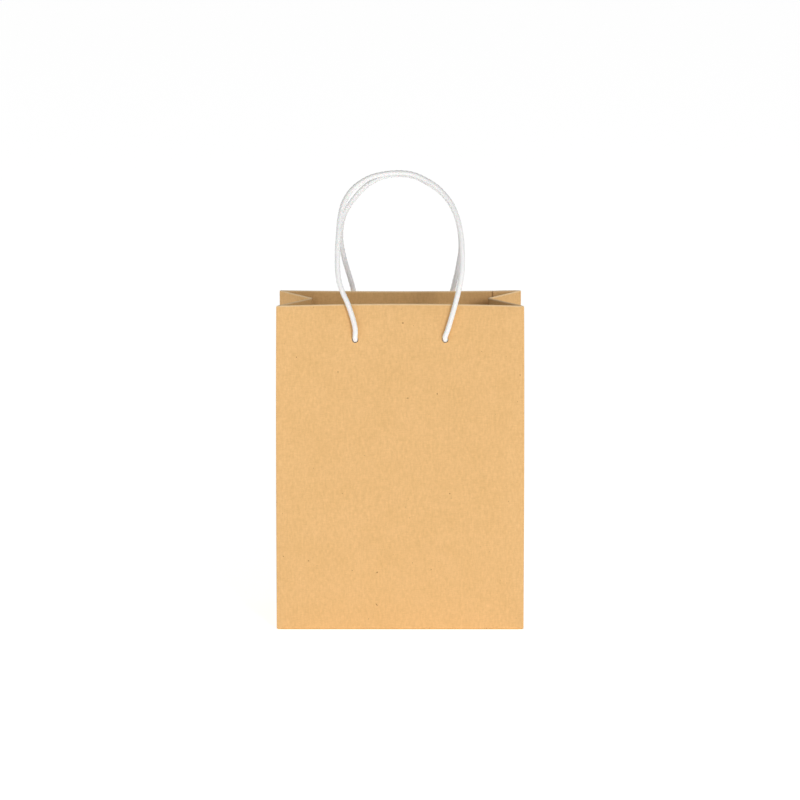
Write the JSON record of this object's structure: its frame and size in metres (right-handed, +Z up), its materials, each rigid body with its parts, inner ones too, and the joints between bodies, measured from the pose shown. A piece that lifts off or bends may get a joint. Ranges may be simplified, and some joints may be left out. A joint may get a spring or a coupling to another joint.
{
  "type": "gift bag",
  "caption": "Kraft paper gift bag with folded side gussets, a reinforced turned-in top, a block bottom and two swinging braided cord handles.",
  "frame": {"origin": "centre of the base, on the surface the bag stands on", "axes": "+Z up, the wide front panel faces -Y, +X to its right as seen from the front"},
  "size_m": [0.2104, 0.1104, 0.3871],
  "materials": {
    "kraft_paper": "matt uncoated kraft with a fine fibre mottle",
    "grey_board": "matt uncoated card",
    "white_cord": "soft matt braid"
  },
  "bodies": {
    "root": {"front_panel": "kraft_paper", "back_panel": "kraft_paper", "left_gusset_front_half": "kraft_paper", "left_gusset_back_half": "kraft_paper", "right_gusset_front_half": "kraft_paper", "right_gusset_back_half": "kraft_paper", "left_gusset_foot": "kraft_paper", "right_gusset_foot": "kraft_paper", "front_top_hem": "kraft_paper", "back_top_hem": "kraft_paper", "left_front_gusset_hem": "kraft_paper", "left_back_gusset_hem": "kraft_paper", "right_front_gusset_hem": "kraft_paper", "right_back_gusset_hem": "kraft_paper", "side_seam_flap": "kraft_paper", "bottom_front_flap": "kraft_paper", "bottom_back_flap": "kraft_paper", "bottom_left_flap": "kraft_paper", "bottom_right_flap": "kraft_paper", "front_rim_board": "grey_board", "back_rim_board": "grey_board", "base_board": "grey_board", "front_left_cord_knot": "white_cord", "front_right_cord_knot": "white_cord", "back_left_cord_knot": "white_cord", "back_right_cord_knot": "white_cord"},
    "front_handle": {"front_cord_loop": "white_cord"},
    "back_handle": {"back_cord_loop": "white_cord"}
  },
  "joints": [
    {"name": "front_handle_swing", "type": "hinge", "parent": "root", "child": "front_handle", "pos_m": [0, -0.04385, 0.2475], "axis": [1, 0, 0], "range_deg": [0, 170]},
    {"name": "back_handle_swing", "type": "hinge", "parent": "root", "child": "back_handle", "pos_m": [0, 0.04782, 0.2475], "axis": [-1, 0, 0], "range_deg": [0, 170]}
  ]
}
